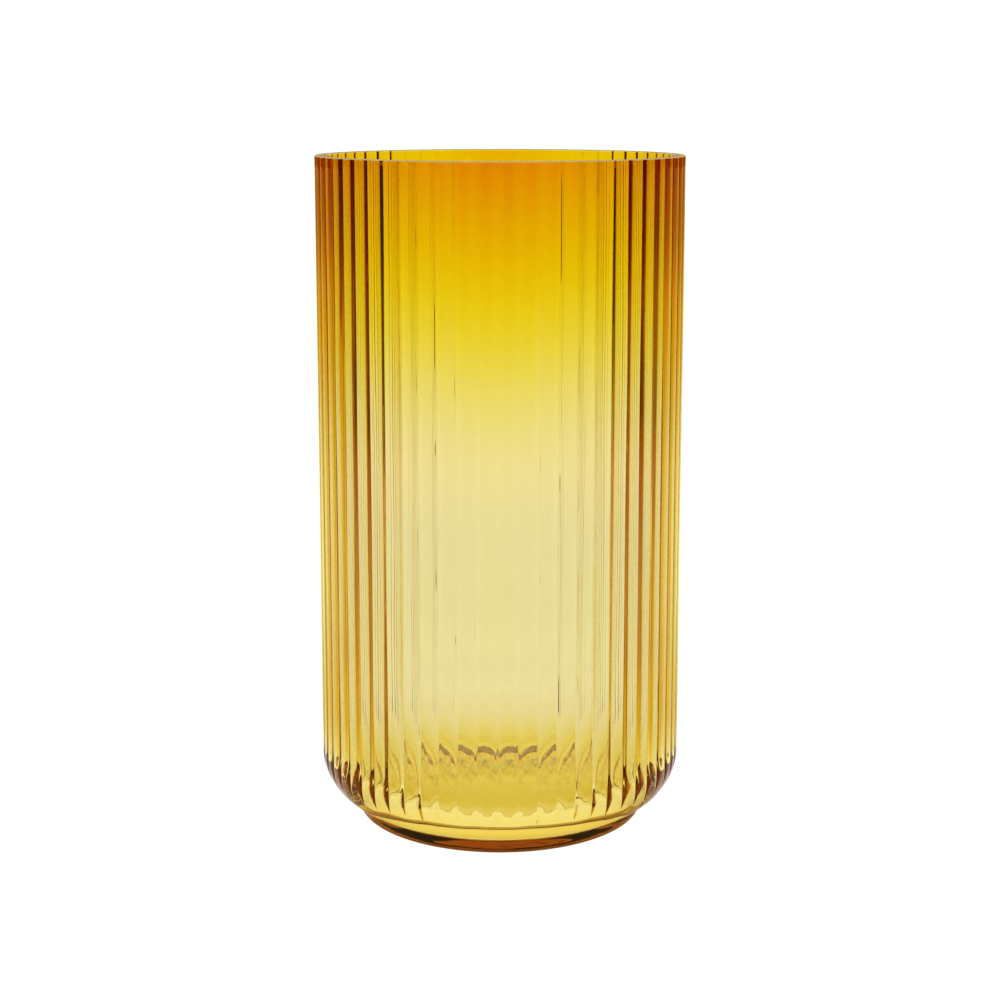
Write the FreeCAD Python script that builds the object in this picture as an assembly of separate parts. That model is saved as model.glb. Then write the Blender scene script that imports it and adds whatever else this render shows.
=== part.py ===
import FreeCAD, Part
import math
import os

# Hand blown vase: a straight, ribbed, slightly leaning cylinder of amber glass with a rounded
# shoulder at the bottom that stands on a recessed foot.
# The glass is put together hot from three gathers, each a solid of its own, face to face:
#   amber_lining   the first gather, a cup of deep amber glass, thickest at the rim
#   ribbed_casing  the paler gather over it, which the ribbed mould shapes outside
#   foot_disc      the last gather, pressed flat under the casing as the foot
# Millimetres, +Z up, origin at the centre of the face that the foot stands on.

# Driving dimensions
HEIGHT = 310.0
RIM_RADIUS = 84.0  # over the ribs, at the rim
SHOULDER_TOP_RADIUS = 85.1  # over the ribs, where the wall meets the shoulder
SHOULDER_TOP_Z = 30.5
SHOULDER_BEND = 24.8  # radius of the shoulder's arc
WALL_THICKNESS = 4.8  # at the rim; the inside is a true cylinder, so the wall thickens as it widens below
FLOOR_TOP_Z = 12.0
INNER_BEND = 24.0  # radius of the arc between the inner wall and the inner floor
RIM_BEVEL = 0.4

# Lining: a straight taper from the rim down to TAPER_END_Z, then a thin, even layer
LINING_RIM_THICKNESS = 2.2
LINING_THIN = 0.7
TAPER_END_Z = 200.0

# Ribs: broad, nearly flat reeds parted by narrow grooves with rounded lips
RIB_COUNT = 60
GROOVE_DEPTH = 1.1
GROOVE_WIDTH = 4.0
GROOVE_ROOT_RADIUS = 0.4
GROOVE_PATH_BEND = 60.0  # well over SHOULDER_BEND, so a groove soon runs out on the shoulder
GROOVE_PATH_END = -30.0  # degrees below level where its path stops, outside the glass
FIRST_GROOVE_ANGLE = 5.3  # degrees from +X to the nearest groove
GROOVE_OVERRUN = 2.0  # how far a groove's cutter stands out past the glass

# Foot
FOOT_RADIUS = 67.9
FOOT_EDGE = 3.2
PUNT_RADIUS = 58.0  # the shallow dome under the foot, inside its resting ring
PUNT_DEPTH = 2.0

# Worked-out geometry of the meridian, in the X-Z plane
LEAN = math.atan2(SHOULDER_TOP_RADIUS - RIM_RADIUS, HEIGHT - SHOULDER_TOP_Z)
BEND_CENTRE_R = SHOULDER_TOP_RADIUS - SHOULDER_BEND * math.cos(LEAN)
BEND_CENTRE_Z = SHOULDER_TOP_Z - SHOULDER_BEND * math.sin(LEAN)
UNDERSIDE_Z = BEND_CENTRE_Z - SHOULDER_BEND
INNER_RADIUS = RIM_RADIUS - WALL_THICKNESS


def at(radius, z):
    """A point of the meridian."""
    return FreeCAD.Vector(radius, 0, z)


def line(start, end):
    return Part.LineSegment(start, end).toShape()


def arc(start, middle, end):
    return Part.Arc(start, middle, end).toShape()


def on_circle(centre, radius, angle):
    """The point at an angle in degrees, from +X towards +Z, on a circle of the meridian plane."""
    turn = math.radians(angle)
    return centre + FreeCAD.Vector(radius * math.cos(turn), 0, radius * math.sin(turn))


def bend(centre, radius, start, end):
    """An arc of the meridian plane between two angles in degrees."""
    middle = on_circle(centre, radius, (start + end) / 2)
    return arc(on_circle(centre, radius, start), middle, on_circle(centre, radius, end))


def turned(edges):
    """The solid that a closed meridian outline sweeps about the Z axis."""
    face = Part.Face(Part.Wire(Part.__sortEdges__(edges)))
    return face.revolve(FreeCAD.Vector(0, 0, 0), FreeCAD.Vector(0, 0, 1), 360)


def cup_edges(wall_radius, corner_radius, floor_z):
    """The lower outline of a cup's inside: the foot of its upright wall, then corner arc and floor."""
    centre = at(wall_radius - corner_radius, floor_z + corner_radius)
    wall_foot = at(wall_radius, centre.z)
    floor_edge = at(centre.x, floor_z)
    return wall_foot, [bend(centre, corner_radius, 0, -90), line(floor_edge, at(0, floor_z))]


def lining_outside():
    """The face where lining and casing meet, from the rim to the axis."""
    thin_radius = INNER_RADIUS + LINING_THIN
    wall_foot, edges = cup_edges(thin_radius, INNER_BEND + LINING_THIN, FLOOR_TOP_Z - LINING_THIN)
    taper_end = at(thin_radius, TAPER_END_Z)
    rim_end = at(INNER_RADIUS + LINING_RIM_THICKNESS, HEIGHT)
    return rim_end, [line(rim_end, taper_end), line(taper_end, wall_foot)] + edges


def lining():
    """The inner cup of deep amber glass."""
    wall_foot, inside = cup_edges(INNER_RADIUS, INNER_BEND, FLOOR_TOP_Z)
    rim_end, outside = lining_outside()
    bevel_foot = at(INNER_RADIUS, HEIGHT - RIM_BEVEL)
    bevel_top = at(INNER_RADIUS + RIM_BEVEL, HEIGHT)
    closing = [
        line(wall_foot, bevel_foot),
        line(bevel_foot, bevel_top),
        line(bevel_top, rim_end),
        line(at(0, FLOOR_TOP_Z), at(0, FLOOR_TOP_Z - LINING_THIN)),
    ]
    return turned(inside + outside + closing)


def plain_casing():
    """The casing before the ribbed mould marks it."""
    rim_end, inside = lining_outside()
    centre = at(BEND_CENTRE_R, BEND_CENTRE_Z)
    shoulder = bend(centre, SHOULDER_BEND, math.degrees(LEAN), -90)
    wall_foot = at(SHOULDER_TOP_RADIUS, SHOULDER_TOP_Z)
    bevel_foot = at(RIM_RADIUS + RIM_BEVEL * math.tan(LEAN), HEIGHT - RIM_BEVEL)
    bevel_top = at(RIM_RADIUS - RIM_BEVEL, HEIGHT)
    outside = [
        line(rim_end, bevel_top),
        line(bevel_top, bevel_foot),
        line(bevel_foot, wall_foot),
        shoulder,
        line(at(BEND_CENTRE_R, UNDERSIDE_Z), at(0, UNDERSIDE_Z)),
        line(at(0, UNDERSIDE_Z), at(0, FLOOR_TOP_Z - LINING_THIN)),
    ]
    return turned(inside + outside)


def groove_section(start, outward):
    """The groove's section at the top of its path: two convex flanks and a rounded root."""
    half = GROOVE_WIDTH / 2
    across = FreeCAD.Vector(0, 1, 0)
    # Each flank is an arc that leaves the rib's crest at a tangent and would meet the other at the root.
    flank_radius = (half ** 2 + GROOVE_DEPTH ** 2) / (2 * GROOVE_DEPTH)
    # The root's circle touches both flanks from outside.
    reach = flank_radius + GROOVE_ROOT_RADIUS
    root_rise = math.sqrt(reach ** 2 - half ** 2) + GROOVE_DEPTH - flank_radius
    touch_angle = math.atan2(half, root_rise + flank_radius - GROOVE_DEPTH)

    def section_point(sideways, rise):
        return start + across * sideways + outward * rise

    def flank(side):
        def flank_point(angle):
            sideways = half - flank_radius * math.sin(angle)
            rise = GROOVE_DEPTH - flank_radius + flank_radius * math.cos(angle)
            return section_point(side * sideways, rise)
        return arc(flank_point(0), flank_point(touch_angle / 2), flank_point(touch_angle))

    touch_side = GROOVE_ROOT_RADIUS * math.sin(touch_angle)
    touch_rise = root_rise - GROOVE_ROOT_RADIUS * math.cos(touch_angle)
    root = arc(
        section_point(-touch_side, touch_rise),
        section_point(0, root_rise - GROOVE_ROOT_RADIUS),
        section_point(touch_side, touch_rise),
    )
    top = GROOVE_DEPTH + GROOVE_OVERRUN
    closing = [
        line(section_point(-half, GROOVE_DEPTH), section_point(-half, top)),
        line(section_point(-half, top), section_point(half, top)),
        line(section_point(half, top), section_point(half, GROOVE_DEPTH)),
    ]
    return Part.Wire(Part.__sortEdges__([flank(-1), root, flank(1)] + closing))


def groove_cutter():
    """One groove: straight down the wall, then round the shoulder until it runs out."""
    outward = FreeCAD.Vector(math.cos(LEAN), 0, math.sin(LEAN))
    along = FreeCAD.Vector(-math.sin(LEAN), 0, math.cos(LEAN))
    turn_start = at(SHOULDER_TOP_RADIUS, SHOULDER_TOP_Z) - outward * GROOVE_DEPTH
    wall_length = (HEIGHT - SHOULDER_TOP_Z) / math.cos(LEAN)
    start = turn_start + along * (wall_length + GROOVE_OVERRUN)
    centre = turn_start - outward * GROOVE_PATH_BEND
    path = Part.Wire([
        line(start, turn_start),
        bend(centre, GROOVE_PATH_BEND, math.degrees(LEAN), GROOVE_PATH_END),
    ])
    return path.makePipeShell([groove_section(start, outward)], True, False)


def casing():
    """The ribbed outer cup."""
    cutter = groove_cutter()
    pitch = 360 / RIB_COUNT
    cutters = []
    for index in range(RIB_COUNT):
        angle = FIRST_GROOVE_ANGLE + index * pitch
        cutters.append(cutter.rotated(FreeCAD.Vector(0, 0, 0), FreeCAD.Vector(0, 0, 1), angle))
    return plain_casing().cut(cutters)


def foot():
    """The recessed foot, with a resting ring round a shallow dome."""
    centre = at(BEND_CENTRE_R, BEND_CENTRE_Z)
    meeting_angle = -math.degrees(math.acos((FOOT_RADIUS - BEND_CENTRE_R) / SHOULDER_BEND))
    meeting = on_circle(centre, SHOULDER_BEND, meeting_angle)
    edge_centre = at(FOOT_RADIUS - FOOT_EDGE, FOOT_EDGE)
    dome_top = at(0, PUNT_DEPTH)
    dome_edge = at(PUNT_RADIUS, 0)
    dome_radius = (PUNT_RADIUS ** 2 + PUNT_DEPTH ** 2) / (2 * PUNT_DEPTH)
    half_angle = math.asin(PUNT_RADIUS / dome_radius) / 2
    dome_centre_z = PUNT_DEPTH - dome_radius
    dome_middle = at(dome_radius * math.sin(half_angle), dome_centre_z + dome_radius * math.cos(half_angle))
    return turned([
        line(at(0, UNDERSIDE_Z), at(BEND_CENTRE_R, UNDERSIDE_Z)),
        bend(centre, SHOULDER_BEND, -90, meeting_angle),
        line(meeting, at(FOOT_RADIUS, FOOT_EDGE)),
        bend(edge_centre, FOOT_EDGE, 0, -90),
        line(at(FOOT_RADIUS - FOOT_EDGE, 0), dome_edge),
        arc(dome_edge, dome_middle, dome_top),
        line(dome_top, at(0, UNDERSIDE_Z)),
    ])


PIECES = {
    "amber_lining": lining,
    "ribbed_casing": casing,
    "foot_disc": foot,
}

os.makedirs("parts", exist_ok=True)
for name, make in PIECES.items():
    piece = make()
    if not piece.isValid() or len(piece.Solids) != 1:
        raise RuntimeError(name + " is not one valid solid")
    piece.exportStep("parts/" + name + ".step")
    box = piece.optimalBoundingBox()
    print(name, "volume", round(piece.Volume), "mm3, z", round(box.ZMin, 2), "to", round(box.ZMax, 2))
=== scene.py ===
import math
import bpy
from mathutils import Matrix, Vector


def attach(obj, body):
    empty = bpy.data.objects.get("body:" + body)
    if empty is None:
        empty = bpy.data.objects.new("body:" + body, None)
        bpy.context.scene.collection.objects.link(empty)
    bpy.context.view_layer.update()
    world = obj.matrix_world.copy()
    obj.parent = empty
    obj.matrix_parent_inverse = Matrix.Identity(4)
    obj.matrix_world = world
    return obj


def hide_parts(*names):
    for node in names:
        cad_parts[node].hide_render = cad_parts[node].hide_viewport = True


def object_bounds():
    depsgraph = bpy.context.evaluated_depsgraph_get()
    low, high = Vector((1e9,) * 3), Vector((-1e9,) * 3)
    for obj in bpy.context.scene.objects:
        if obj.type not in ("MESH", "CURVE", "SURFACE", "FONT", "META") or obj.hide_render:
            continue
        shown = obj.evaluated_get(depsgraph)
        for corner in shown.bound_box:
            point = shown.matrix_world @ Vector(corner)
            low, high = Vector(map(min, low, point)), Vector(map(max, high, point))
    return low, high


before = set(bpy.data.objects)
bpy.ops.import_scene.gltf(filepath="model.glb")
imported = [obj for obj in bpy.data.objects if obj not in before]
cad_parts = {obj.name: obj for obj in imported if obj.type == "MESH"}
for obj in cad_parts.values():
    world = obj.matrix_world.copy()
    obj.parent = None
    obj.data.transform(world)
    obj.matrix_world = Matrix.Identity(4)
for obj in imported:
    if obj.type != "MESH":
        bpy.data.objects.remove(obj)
cad_low, cad_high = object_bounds()

# Sizes in metres. The height comes from the frame; the rest are the CAD's driving dimensions again.
MM = 0.001
HEIGHT = cad_high.z
RIM_RADIUS = 84.0 * MM
SHOULDER_TOP_RADIUS = 85.1 * MM
SHOULDER_TOP_Z = 30.5 * MM
SHOULDER_BEND = 24.8 * MM
WALL_THICKNESS = 4.8 * MM
FLOOR_TOP_Z = 12.0 * MM
INNER_BEND = 24.0 * MM
RIM_BEVEL = 0.4 * MM
FOOT_RADIUS = 67.9 * MM
FOOT_EDGE = 3.2 * MM
FOOT_CREASE = 0.8 * MM  # radius of the hollow between foot and shoulder
PUNT_RADIUS = 58.0 * MM
PUNT_DEPTH = 2.0 * MM
LEAN = math.atan2(SHOULDER_TOP_RADIUS - RIM_RADIUS, HEIGHT - SHOULDER_TOP_Z)
INNER_RADIUS = RIM_RADIUS - WALL_THICKNESS

# Ribs: wide and nearly flat, with a groove between each two.
RIB_COUNT = 60
RIB_PITCH = 2 * math.pi / RIB_COUNT
RIB_SAG = 0.3 * MM  # how far a rib's edges lie below its crest
GROOVE_DEPTH = 1.2 * MM
GROOVE_HALF = 0.6 * MM
GROOVE_PATH_BEND = 60.0 * MM
GROOVE_GONE = 3.0  # a groove is over once its path has left the glass by this many depths
GROOVE_END_SOFTNESS = 0.04 * MM
FIRST_GROOVE_ANGLE = math.radians(5.3)
RIM_ROUNDING = ((0.1, 0.9), (0.9, 0.1))  # points of a rim edge, in bevels
RIM_LIFTS = (8, 4, 2.4, 1.5)  # rows of the walls just under the rim, in bevels below it
RIM_SHARES = (0.0, 0.06, 0.3, 0.7, 0.94, 1.0)  # rows of the rim's flat face, from outside to inside
RIM_INSET = 1.6  # bevels between the flat face and each wall
RIM_EDGE_NORMAL = math.sqrt(0.5)

# The grooves are softer, wider and shallower towards the middle of the back and of the front.
SOFT_DEPTH = 0.65
SOFT_HALF = 2.0 * MM
BACK_START = 0.35
BACK_FULL = 0.85
FRONT_START = 0.78
FRONT_SOFT = 0.7

# Mesh: columns between a groove and the middle of its rib, in shares of the pitch, and rows.
RIB_STEPS = (0.0, 0.01, 0.02, 0.032, 0.046, 0.062, 0.082, 0.11, 0.15, 0.21, 0.29, 0.39, 0.5)
WALL_ROWS = 24
DOME_ROWS = 14
RING_ROWS = 4
FOOT_EDGE_ROWS = 10
CREASE_ROWS = 8
SHOULDER_ROWS = 30
CORNER_ROWS = 26
FLOOR_ROWS = 14

# Hand-made unevenness: waves of (turn per rib, turn over the height, start, share).
SWAY = 0.012  # of the pitch
SWAY_WAVES = ((2.1, 3.0, 0.0, 1.0), (4.7, 7.0, 1.0, 0.6))
DEPTH_CHANGE = 0.1  # of the groove's depth
DEPTH_WAVES = ((3.3, 9.0, 0.0, 1.0), (1.9, -17.0, 2.0, 0.7))

# Amber lining: a film below, swelling towards the rim, and thinner at the sides than in front and behind.
LINING_RIM = 2.35 * MM
LINING_FILM = 0.04 * MM
LINING_FLOOR = 0.1 * MM
LINING_START_Z = 130 * MM
LINING_POWER = 3.3
LINING_SKIN = 0.02 * MM  # clear glass between the lining and the inside
LINING_COLUMNS = 180
RIM_SIDE_LOSS = 0.4
FILM_SIDE_LOSS = 0.25
SIDE_WIDTH = 0.34

# Glass: absorption colour and density per metre, and the gentle waves of a hand blown surface.
IOR = 1.5
LINING_IOR = 1.0  # no bend of its own where it lies in the casing glass
CASING_COLOR = (0.914, 0.818, 0.373)
CASING_DENSITY = 110.0
LINING_COLOR = (0.9939, 0.939, 0.0)
LINING_DENSITY = 4500.0
WAVE_DEPTH = 0.3 * MM
WAVE_SCALE = 60.0
WAVE_STRETCH = (1.0, 1.0, 0.15)
WAVE_DETAIL = 1.0
RIM_GROUND = 0.5
GROUND_ROUGHNESS = 0.3
GROUND_COLOR = (0.98, 0.8, 0.35)
CLEAR_COLOR = (1.0, 1.0, 1.0)

# Studio light. To the camera and to dull surfaces the floor and sky are plain and white. To rays that come
# through the glass or off it they are tinted, which no plain studio is: the tints are chosen so that the
# lines along the ribs, the foot and the gaps between the lines look right from the front.
# Stops are (place, colour): a place on the floor is its distance from the middle in metres, and a place in
# the sky is its height as a share of straight up. "shown" is what a ray straight through the glass meets,
# "guided" what one bounced inside it meets and "mirrored" what one reflected off it meets. Guided and
# mirrored have a colour beside the vase and in front, another behind, and where one turns into the other,
# from -1 in front to 1 behind.
FLOOR_LIGHT = {
    "reach": 4.0,
    "strength": 1.0,
    "shown": (
        (0.0, (0.84, 0.79, 0.3)),
        (0.07, (0.85, 0.8, 0.35)),
        (0.14, (0.9, 0.93, 1.05)),
        (0.34, (0.8, 0.85, 0.9)),
        (0.5, (0.82, 0.87, 0.91)),
        (0.9, (0.94, 0.95, 0.96)),
        (4.0, (0.94, 0.9, 0.7)),
    ),
    "guided beside": (
        (0.1, (1.15, 1.2, 1.25)),
        (0.22, (0.85, 0.65, 0.15)),
        (0.35, (0.65, 0.35, 0.03)),
        (0.55, (0.6, 0.28, 0.01)),
        (0.8, (0.45, 0.14, 0.0)),
        (1.2, (0.1, 0.01, 0.0)),
        (4.0, (0.0, 0.0, 0.0)),
    ),
    "guided behind": (
        (0.1, (1.15, 1.2, 1.25)),
        (0.22, (1.05, 1.05, 0.5)),
        (0.5, (1.05, 1.0, 0.35)),
        (1.4, (0.9, 0.7, 0.1)),
        (4.0, (0.55, 0.45, 0.0)),
    ),
    "guided turn": (0.4, 0.9),
    "mirrored beside": (
        (0.1, (0.45, 0.3, 0.1)),
        (0.2, (0.35, 0.18, 0.04)),
        (0.5, (1.0, 0.9, 0.4)),
        (1.3, (0.5, 0.3, 0.02)),
        (4.0, (0.03, 0.0, 0.0)),
    ),
    "mirrored behind": (
        (0.1, (0.9, 0.9, 0.9)),
        (0.2, (0.6, 0.5, 0.3)),
        (0.5, (0.95, 1.0, 0.6)),
        (2.0, (0.7, 0.5, 0.08)),
        (4.0, (0.5, 0.3, 0.03)),
    ),
    "mirrored turn": (-0.5, 0.2),
}
SKY_LIGHT = {
    "reach": 1.0,
    "strength": 1.05,
    "shown": ((0.0, (0.95, 0.95, 0.9)), (1.0, (0.95, 0.95, 0.9))),
    "guided beside": ((0.0, (0.3, 0.2, 0.0)), (0.3, (0.5, 0.3, 0.0)), (1.0, (0.76, 0.74, 0.7))),
    "guided behind": (
        (0.0, (0.6, 0.6, 0.3)),
        (0.12, (1.4, 1.5, 1.6)),
        (0.28, (1.2, 1.2, 1.0)),
        (0.45, (0.74, 0.6, 0.15)),
        (1.0, (0.76, 0.74, 0.7)),
    ),
    "guided turn": (0.4, 0.9),
    "mirrored beside": ((0.0, (0.0, 0.0, 0.0)), (0.3, (0.05, 0.02, 0.0)), (1.0, (0.65, 0.6, 0.2))),
    "mirrored behind": (
        (0.0, (0.3, 0.15, 0.0)),
        (0.12, (0.4, 0.3, 0.1)),
        (0.2, (1.0, 1.0, 0.9)),
        (0.35, (0.5, 0.4, 0.1)),
        (1.0, (0.65, 0.6, 0.2)),
    ),
    "mirrored turn": (0.6, 0.95),
}
FLOOR_RADIUS = 8.0
FLOOR_SIDES = 96
FLOOR_GREY = 0.1
FLOOR_ROUGHNESS = 0.9

# Camera: far off, a little above the vase, looking slightly down.
CAMERA_BACK = 10.7335 * RIM_RADIUS
CAMERA_HEIGHT = 4.0487 * RIM_RADIUS
CAMERA_DROP = math.radians(11.92)
CAMERA_LENS = 70.47
SENSOR_WIDTH = 36
GLASS_BOUNCES = 64
GLOSSY_BOUNCES = 32

# Sockets of a colour Mix node, whose names are shared with its other kinds.
MIX_A = 6
MIX_B = 7
MIX_RESULT = 2


def arc(centre_r, centre_z, radius, start, end, steps):
    """Meridian points (r, z, normal r, normal z) along an arc, its angles in degrees from outwards."""
    points = []
    for step in range(steps + 1):
        angle = math.radians(start + (end - start) * step / steps)
        nr = math.cos(angle)
        nz = math.sin(angle)
        points.append((centre_r + radius * nr, centre_z + radius * nz, nr, nz))
    return points


def line(r0, z0, r1, z1, steps):
    """Meridian points along a straight run, without its ends."""
    length = math.hypot(r1 - r0, z1 - z0)
    nr = (z1 - z0) / length
    nz = -(r1 - r0) / length
    return [(r0 + (r1 - r0) * t / steps, z0 + (z1 - z0) * t / steps, nr, nz) for t in range(1, steps)]


def named(points, part):
    return [point + (part,) for point in points]


def underside():
    """The shallow dome under the foot and the ring the vase stands on."""
    dome_radius = (PUNT_RADIUS ** 2 + PUNT_DEPTH ** 2) / (2 * PUNT_DEPTH)
    dome_z = PUNT_DEPTH - dome_radius
    edge = math.asin(PUNT_RADIUS / dome_radius)
    points = []
    for step in range(1, DOME_ROWS + 1):
        angle = edge * step / DOME_ROWS
        r = dome_radius * math.sin(angle)
        z = dome_z + dome_radius * math.cos(angle)
        points.append((r, z, -math.sin(angle), -math.cos(angle)))
    ring = line(PUNT_RADIUS, 0, FOOT_RADIUS - FOOT_EDGE, 0, RING_ROWS)
    points += [(r, z, 0, -1) for r, z, _, _ in ring]
    return named(points, "foot")


def foot_and_shoulder():
    """The foot's rounded edge, the crease above it and the shoulder's bend."""
    bend_r = SHOULDER_TOP_RADIUS - SHOULDER_BEND * math.cos(LEAN)
    bend_z = SHOULDER_TOP_Z - SHOULDER_BEND * math.sin(LEAN)
    reach = SHOULDER_BEND + FOOT_CREASE
    crease_r = FOOT_RADIUS + FOOT_CREASE
    crease_angle = -math.degrees(math.acos((crease_r - bend_r) / reach))
    crease_z = bend_z + reach * math.sin(math.radians(crease_angle))
    edge = arc(FOOT_RADIUS - FOOT_EDGE, FOOT_EDGE, FOOT_EDGE, -90, 0, FOOT_EDGE_ROWS)
    crease = arc(crease_r, crease_z, FOOT_CREASE, 180, 180 + crease_angle, CREASE_ROWS)
    shoulder = arc(bend_r, bend_z, SHOULDER_BEND, crease_angle, math.degrees(LEAN), SHOULDER_ROWS)
    points = named(edge, "foot")
    points += named([(r, z, -nr, -nz) for r, z, nr, nz in crease], "foot")
    return points + named(shoulder[1:], "shoulder")


def outer_wall():
    top = HEIGHT - RIM_LIFTS[0] * RIM_BEVEL
    points = line(SHOULDER_TOP_RADIUS, SHOULDER_TOP_Z, RIM_RADIUS, top, WALL_ROWS)
    points += [(RIM_RADIUS, HEIGHT - lift * RIM_BEVEL, 1, 0) for lift in RIM_LIFTS]
    return named(points, "wall")


def rim():
    """The flat ground rim with its small rounded edges."""
    flat_start = RIM_RADIUS - RIM_INSET * RIM_BEVEL
    flat_width = WALL_THICKNESS - 2 * RIM_INSET * RIM_BEVEL
    points = []
    for inward, down in RIM_ROUNDING:
        place = (RIM_RADIUS - inward * RIM_BEVEL, HEIGHT - down * RIM_BEVEL)
        points.append(place + (RIM_EDGE_NORMAL, RIM_EDGE_NORMAL))
    points += [(flat_start - flat_width * share, HEIGHT, 0, 1) for share in RIM_SHARES]
    for down, outward in RIM_ROUNDING:
        place = (INNER_RADIUS + outward * RIM_BEVEL, HEIGHT - down * RIM_BEVEL)
        points.append(place + (-RIM_EDGE_NORMAL, RIM_EDGE_NORMAL))
    return named(points, "rim")


def inner_face(offset):
    """The inside wall, corner and floor, moved into the glass by an offset."""
    corner_z = FLOOR_TOP_Z + INNER_BEND
    corner_r = INNER_RADIUS - INNER_BEND
    wall_r = INNER_RADIUS + offset
    top = HEIGHT - RIM_LIFTS[0] * RIM_BEVEL
    points = [(wall_r, HEIGHT - lift * RIM_BEVEL, -1, 0) for lift in reversed(RIM_LIFTS)]
    points += [(r, z, -1, 0) for r, z, _, _ in line(wall_r, top, wall_r, corner_z, WALL_ROWS)]
    corner = arc(corner_r, corner_z, INNER_BEND + offset, 0, -90, CORNER_ROWS)
    points += [(r, z, -nr, -nz) for r, z, nr, nz in corner]
    for step in range(1, FLOOR_ROWS):
        points.append((corner_r * (1 - step / FLOOR_ROWS), FLOOR_TOP_Z - offset, 0, 1))
    return named(points, "inside")


def soft_positive(value, soft):
    """value where it is positive, 0 where negative, with a smooth change between."""
    return (value + math.sqrt(value * value + soft * soft)) / 2 - soft / 2


def smooth_step(low, high, value):
    share = max(0.0, min(1.0, (value - low) / (high - low)))
    return share * share * (3 - 2 * share)


def waves(table, rib, z):
    """The sum of a table's waves for a rib at a height."""
    height = z / HEIGHT
    return sum(share * math.sin(turn * rib + rise * height + start) for turn, rise, start, share in table)


def softness(angle):
    """0 at the sides, where the grooves are sharp, and up to 1 at the back and FRONT_SOFT in front."""
    toward_back = math.sin(angle)
    back = smooth_step(BACK_START, BACK_FULL, toward_back)
    front = smooth_step(FRONT_START, 1.0, -toward_back)
    return back + FRONT_SOFT * front


def rib_drop(across, soft):
    """How far the surface lies below the ribs' crests."""
    rib_half = RIM_RADIUS * RIB_PITCH / 2
    half = GROOVE_HALF + (SOFT_HALF - GROOVE_HALF) * soft
    depth = GROOVE_DEPTH * (1 - (1 - SOFT_DEPTH) * soft)
    share = 1 - across / rib_half
    crest = 1 / (1 + (rib_half / half) ** 2)
    return depth * (1 / (1 + (across / half) ** 2) - crest) + RIB_SAG * share * share


def run_out(nr, nz):
    """How far a groove's own, wider bend has left the shoulder, where the shoulder faces (nr, nz)."""
    extra = GROOVE_PATH_BEND - SHOULDER_BEND
    return GROOVE_PATH_BEND - math.hypot(extra + SHOULDER_BEND * nr, SHOULDER_BEND * nz)


def groove_drop(row, angle, offset, uneven):
    """How far the outside lies below its smooth outline."""
    r, z, nr, nz, part = row
    if part == "foot" or part == "inside":
        return 0.0
    drop = (1 + uneven) * rib_drop(RIM_RADIUS * abs(offset), softness(angle))
    if part == "rim":
        return drop * max(0.0, (r - INNER_RADIUS) / WALL_THICKNESS)
    lost = run_out(nr, nz) if part == "shoulder" else 0.0
    if lost > GROOVE_GONE * (GROOVE_DEPTH + RIB_SAG):
        return 0.0
    return soft_positive(drop - lost, GROOVE_END_SOFTNESS)


def columns():
    """Rib number, share of the way to the next groove, and signed angle from the nearest groove."""
    steps = list(RIB_STEPS) + [1 - t for t in reversed(RIB_STEPS[1:-1])]
    return [(rib, t, (t if t <= 0.5 else t - 1) * RIB_PITCH) for rib in range(RIB_COUNT) for t in steps]


def outside_point(row, rib, t, offset):
    """A vertex of the ribbed glass: a meridian row at one column."""
    r, z, nr, nz, part = row
    following = (rib + 1) % RIB_COUNT
    sway = SWAY * RIB_PITCH * ((1 - t) * waves(SWAY_WAVES, rib, z) + t * waves(SWAY_WAVES, following, z))
    angle = FIRST_GROOVE_ANGLE + (rib + t) * RIB_PITCH + sway
    nearest = rib if t <= 0.5 else following
    drop = groove_drop(row, angle, offset, DEPTH_CHANGE * waves(DEPTH_WAVES, nearest, z))
    if part == "rim":
        return ((r - drop) * math.cos(angle), (r - drop) * math.sin(angle), z)
    radius = r - nr * drop
    return (radius * math.cos(angle), radius * math.sin(angle), z - nz * drop)


def glass_mesh():
    """The whole vessel's surface as one closed mesh, its rim with a finish of its own."""
    meridian = underside() + foot_and_shoulder() + outer_wall() + rim() + inner_face(0.0)
    cols = columns()
    verts = [(0, 0, PUNT_DEPTH)]
    verts += [outside_point(row, rib, t, offset) for row in meridian for rib, t, offset in cols]
    verts.append((0, 0, FLOOR_TOP_Z))
    mesh = closed_mesh("ribbed_casing_glass", verts, len(meridian), len(cols))
    parts = [row[-1] for row in meridian]
    first = len(cols) * (1 + parts.index("rim"))
    last = len(cols) * (len(parts) - parts[::-1].index("rim"))
    for face in range(first, last):
        mesh.polygons[face].material_index = 1
    return mesh


def closed_mesh(name, verts, rows, count):
    """A closed surface from rings of vertices with a single vertex at each end."""
    faces = [(0, 1 + (i + 1) % count, 1 + i) for i in range(count)]
    for row in range(rows - 1):
        low = 1 + row * count
        high = low + count
        faces += [(low + i, low + (i + 1) % count, high + (i + 1) % count, high + i) for i in range(count)]
    last = 1 + (rows - 1) * count
    faces += [(last + i, last + (i + 1) % count, len(verts) - 1) for i in range(count)]
    mesh = bpy.data.meshes.new(name)
    mesh.from_pydata(verts, [], faces)
    mesh.polygons.foreach_set("use_smooth", [True] * len(mesh.polygons))
    mesh.update()
    return mesh


def wall_lining(z, angle):
    """The first gather's thickness on the wall: it hangs thicker in front and behind than at the sides."""
    share = max(0.0, (z - LINING_START_Z) / (HEIGHT - LINING_START_Z))
    side = 1 - math.exp(-(math.cos(angle) / SIDE_WIDTH) ** 2)
    film = LINING_FILM * (1 - FILM_SIDE_LOSS * side)
    return film + LINING_RIM * share ** LINING_POWER * (1 - RIM_SIDE_LOSS * side)


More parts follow.
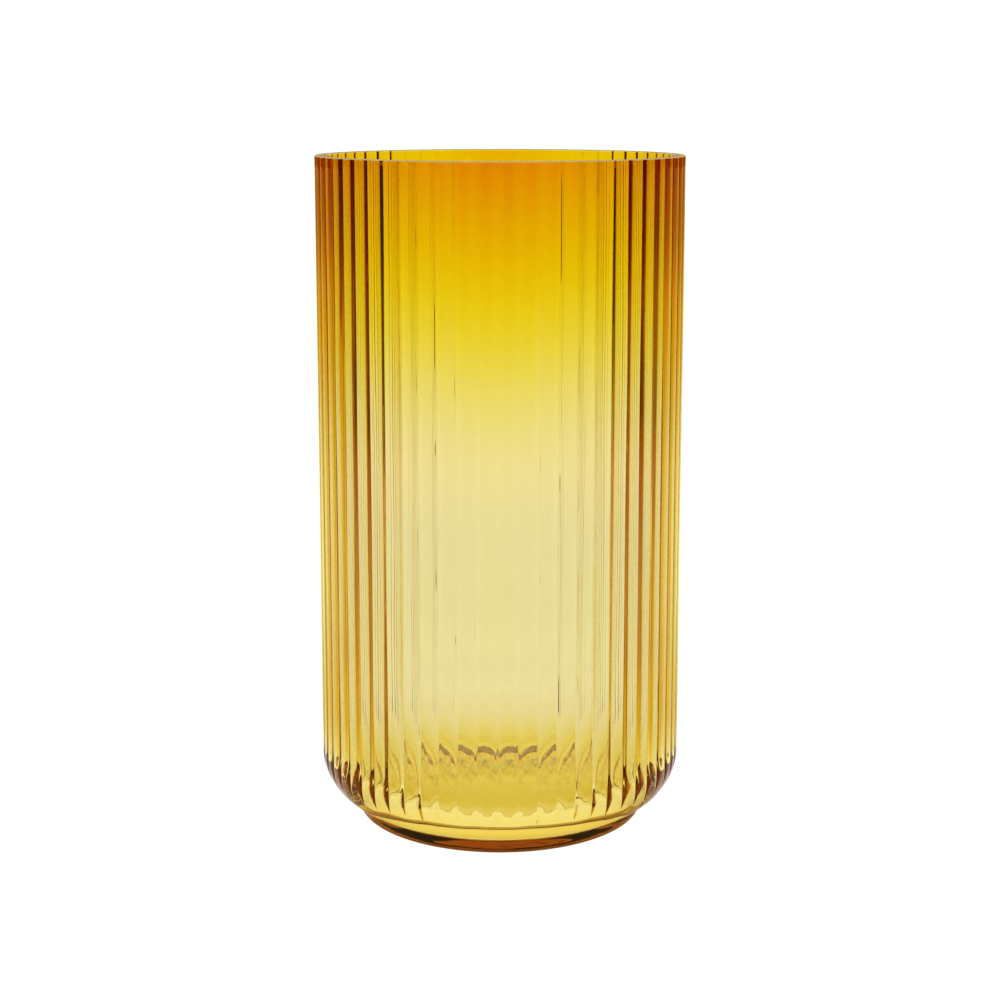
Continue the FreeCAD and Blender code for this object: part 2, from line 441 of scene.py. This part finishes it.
def lining_mesh():
    """The amber lining: thick at the rim, thinning to a film, and carried across the floor."""
    inner = inner_face(LINING_SKIN)
    angles = [2 * math.pi * i / LINING_COLUMNS for i in range(LINING_COLUMNS)]
    verts = [(0, 0, FLOOR_TOP_Z - LINING_SKIN - LINING_FLOOR)]
    for r, z, nr, nz, _ in reversed(inner):
        upright = max(0.0, -nr)
        for angle in angles:
            thickness = wall_lining(z, angle) * upright + LINING_FLOOR * (1 - upright) ** 2
            radius = r - nr * thickness
            verts.append((radius * math.cos(angle), radius * math.sin(angle), z - nz * thickness))
    verts += [(r * math.cos(angle), r * math.sin(angle), z) for r, z, _, _, _ in inner for angle in angles]
    verts.append((0, 0, FLOOR_TOP_Z - LINING_SKIN))
    return closed_mesh("amber_lining_glass", verts, 2 * len(inner), LINING_COLUMNS)


def wavy_surface(nodes, links, shader):
    """Long, shallow waves that run up and down the glass."""
    coords = nodes.new("ShaderNodeTexCoord")
    stretch = nodes.new("ShaderNodeVectorMath")
    stretch.operation = "MULTIPLY"
    stretch.inputs[1].default_value = WAVE_STRETCH
    links.new(coords.outputs["Object"], stretch.inputs[0])
    noise = nodes.new("ShaderNodeTexNoise")
    noise.inputs["Scale"].default_value = WAVE_SCALE
    noise.inputs["Detail"].default_value = WAVE_DETAIL
    links.new(stretch.outputs[0], noise.inputs["Vector"])
    bump = nodes.new("ShaderNodeBump")
    bump.inputs["Distance"].default_value = WAVE_DEPTH
    links.new(noise.outputs[0], bump.inputs["Height"])
    links.new(bump.outputs[0], shader.inputs["Normal"])


def glass(name, ior, tint, density, ground=0.0):
    """Clear glass with a uniform tint through its thickness; ground glass also scatters some light."""
    material = bpy.data.materials.new(name)
    material.use_nodes = True
    nodes = material.node_tree.nodes
    links = material.node_tree.links
    shader = nodes["Principled BSDF"]
    surface_color = GROUND_COLOR if ground else CLEAR_COLOR
    shader.inputs["Base Color"].default_value = surface_color + (1,)
    shader.inputs["Transmission Weight"].default_value = 1.0 - ground
    shader.inputs["Roughness"].default_value = GROUND_ROUGHNESS * ground
    shader.inputs["IOR"].default_value = ior
    volume = nodes.new("ShaderNodeVolumeAbsorption")
    volume.inputs["Color"].default_value = tint + (1,)
    volume.inputs["Density"].default_value = density
    links.new(volume.outputs[0], nodes["Material Output"].inputs["Volume"])
    wavy_surface(nodes, links, shader)
    return material


def place_piece(mesh, materials, cad_nodes):
    """Adds a piece of the vase, on its body and in place of its CAD nodes."""
    piece = bpy.data.objects.new(mesh.name, mesh)
    bpy.context.collection.objects.link(piece)
    for material in materials:
        mesh.materials.append(material)
    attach(piece, "root")
    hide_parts(*cad_nodes)


def math_node(nodes, links, operation, a, b):
    """A Math node of two numbers or sockets; returns its output."""
    node = nodes.new("ShaderNodeMath")
    node.operation = operation
    for socket, value in zip(node.inputs, (a, b)):
        if isinstance(value, (int, float)):
            socket.default_value = value
        else:
            links.new(value, socket)
    return node.outputs[0]


def color_stops(nodes, links, where, stops, reach):
    """A colour that changes smoothly with a place, from a few stops."""
    ramp = nodes.new("ShaderNodeValToRGB")
    ramp.color_ramp.interpolation = "EASE"
    marks = ramp.color_ramp.elements
    while len(marks) < len(stops):
        marks.new(0.5)
    for mark, (position, color) in zip(marks, stops):
        mark.position = position / reach
        mark.color = color + (1,)
    links.new(math_node(nodes, links, "DIVIDE", where, reach), ramp.inputs["Fac"])
    return ramp.outputs["Color"]


def two_sided(nodes, links, where, toward_back, light, kind):
    """The colour beside the vase and in front of it, changing to another behind it."""
    start, end = light[kind + " turn"]
    change = nodes.new("ShaderNodeMapRange")
    change.interpolation_type = "SMOOTHSTEP"
    change.inputs["From Min"].default_value = start
    change.inputs["From Max"].default_value = end
    links.new(toward_back, change.inputs["Value"])
    beside = color_stops(nodes, links, where, light[kind + " beside"], light["reach"])
    behind = color_stops(nodes, links, where, light[kind + " behind"], light["reach"])
    mix = nodes.new("ShaderNodeMix")
    mix.data_type = "RGBA"
    links.new(change.outputs["Result"], mix.inputs["Factor"])
    links.new(beside, mix.inputs[MIX_A])
    links.new(behind, mix.inputs[MIX_B])
    return mix.outputs[MIX_RESULT]


def scaled(nodes, links, color, share):
    """A colour, or a grey number, times a share."""
    scale = nodes.new("ShaderNodeVectorMath")
    scale.operation = "SCALE"
    links.new(share, scale.inputs["Scale"])
    if isinstance(color, float):
        scale.inputs[0].default_value = (color, color, color)
    else:
        links.new(color, scale.inputs[0])
    return scale.outputs[0]


def studio_light(nodes, links, where, toward_back, light):
    """White light, but what a ray from inside or off the glass meets is warm, uneven light, tinted by the
    kind of ray: painted shade and painted reflections in the glass.
    """
    path = nodes.new("ShaderNodeLightPath")
    through = path.outputs["Is Transmission Ray"]
    bounced = math_node(nodes, links, "GREATER_THAN", path.outputs["Glossy Depth"], 0.5)
    guided = math_node(nodes, links, "MULTIPLY", bounced, through)
    mirrored = math_node(nodes, links, "SUBTRACT", bounced, guided)
    direct = math_node(nodes, links, "SUBTRACT", through, guided)
    glassy = math_node(nodes, links, "ADD", bounced, direct)
    plain = math_node(nodes, links, "SUBTRACT", 1.0, glassy)
    shown_color = color_stops(nodes, links, where, light["shown"], light["reach"])
    guided_color = two_sided(nodes, links, where, toward_back, light, "guided")
    mirrored_color = two_sided(nodes, links, where, toward_back, light, "mirrored")
    total = scaled(nodes, links, light["strength"], plain)
    for color, share in ((shown_color, direct), (guided_color, guided), (mirrored_color, mirrored)):
        add = nodes.new("ShaderNodeVectorMath")
        add.operation = "ADD"
        links.new(total, add.inputs[0])
        links.new(scaled(nodes, links, color, share), add.inputs[1])
        total = add.outputs[0]
    return total


def floor_material():
    material = bpy.data.materials.new("pale_floor")
    material.use_nodes = True
    nodes = material.node_tree.nodes
    links = material.node_tree.links
    shader = nodes["Principled BSDF"]
    shader.inputs["Base Color"].default_value = (FLOOR_GREY, FLOOR_GREY, FLOOR_GREY, 1)
    shader.inputs["Roughness"].default_value = FLOOR_ROUGHNESS
    shader.inputs["Specular IOR Level"].default_value = 0.0
    shader.inputs["Emission Strength"].default_value = 1.0
    coords = nodes.new("ShaderNodeTexCoord")
    distance = nodes.new("ShaderNodeVectorMath")
    distance.operation = "LENGTH"
    links.new(coords.outputs["Object"], distance.inputs[0])
    direction = nodes.new("ShaderNodeVectorMath")
    direction.operation = "NORMALIZE"
    links.new(coords.outputs["Object"], direction.inputs[0])
    axes = nodes.new("ShaderNodeSeparateXYZ")
    links.new(direction.outputs[0], axes.inputs[0])
    light = studio_light(nodes, links, distance.outputs["Value"], axes.outputs["Y"], FLOOR_LIGHT)
    links.new(light, shader.inputs["Emission Color"])
    return material


def make_floor():
    mesh = bpy.data.meshes.new("floor")
    ring = []
    for side in range(FLOOR_SIDES):
        angle = 2 * math.pi * side / FLOOR_SIDES
        ring.append((FLOOR_RADIUS * math.cos(angle), FLOOR_RADIUS * math.sin(angle), 0))
    mesh.from_pydata(ring, [], [tuple(range(FLOOR_SIDES))])
    mesh.materials.append(floor_material())
    floor = bpy.data.objects.new("floor", mesh)
    bpy.context.collection.objects.link(floor)


def make_world():
    world = bpy.data.worlds.new("studio")
    bpy.context.scene.world = world
    world.use_nodes = True
    nodes = world.node_tree.nodes
    links = world.node_tree.links
    coords = nodes.new("ShaderNodeTexCoord")
    axes = nodes.new("ShaderNodeSeparateXYZ")
    links.new(coords.outputs["Generated"], axes.inputs[0])
    light = studio_light(nodes, links, axes.outputs["Z"], axes.outputs["Y"], SKY_LIGHT)
    links.new(light, nodes["Background"].inputs["Color"])


def make_camera():
    data = bpy.data.cameras.new("camera")
    data.sensor_width = SENSOR_WIDTH
    data.lens = CAMERA_LENS
    camera = bpy.data.objects.new("camera", data)
    bpy.context.collection.objects.link(camera)
    camera.location = (0, -CAMERA_BACK, CAMERA_HEIGHT)
    camera.rotation_euler = (math.pi / 2 - CAMERA_DROP, 0, 0)
    bpy.context.scene.camera = camera


casing_glass = glass("casing_glass", IOR, CASING_COLOR, CASING_DENSITY)
rim_glass = glass("ground_rim_glass", IOR, CASING_COLOR, CASING_DENSITY, RIM_GROUND)
amber_glass = glass("amber_glass", LINING_IOR, LINING_COLOR, LINING_DENSITY)
place_piece(glass_mesh(), (casing_glass, rim_glass), ("ribbed_casing", "foot_disc"))
place_piece(lining_mesh(), (amber_glass,), ("amber_lining",))
make_floor()
make_world()
make_camera()
scene = bpy.context.scene
scene.view_settings.view_transform = "Standard"
scene.cycles.max_bounces = GLASS_BOUNCES
scene.cycles.transmission_bounces = GLASS_BOUNCES
scene.cycles.glossy_bounces = GLOSSY_BOUNCES
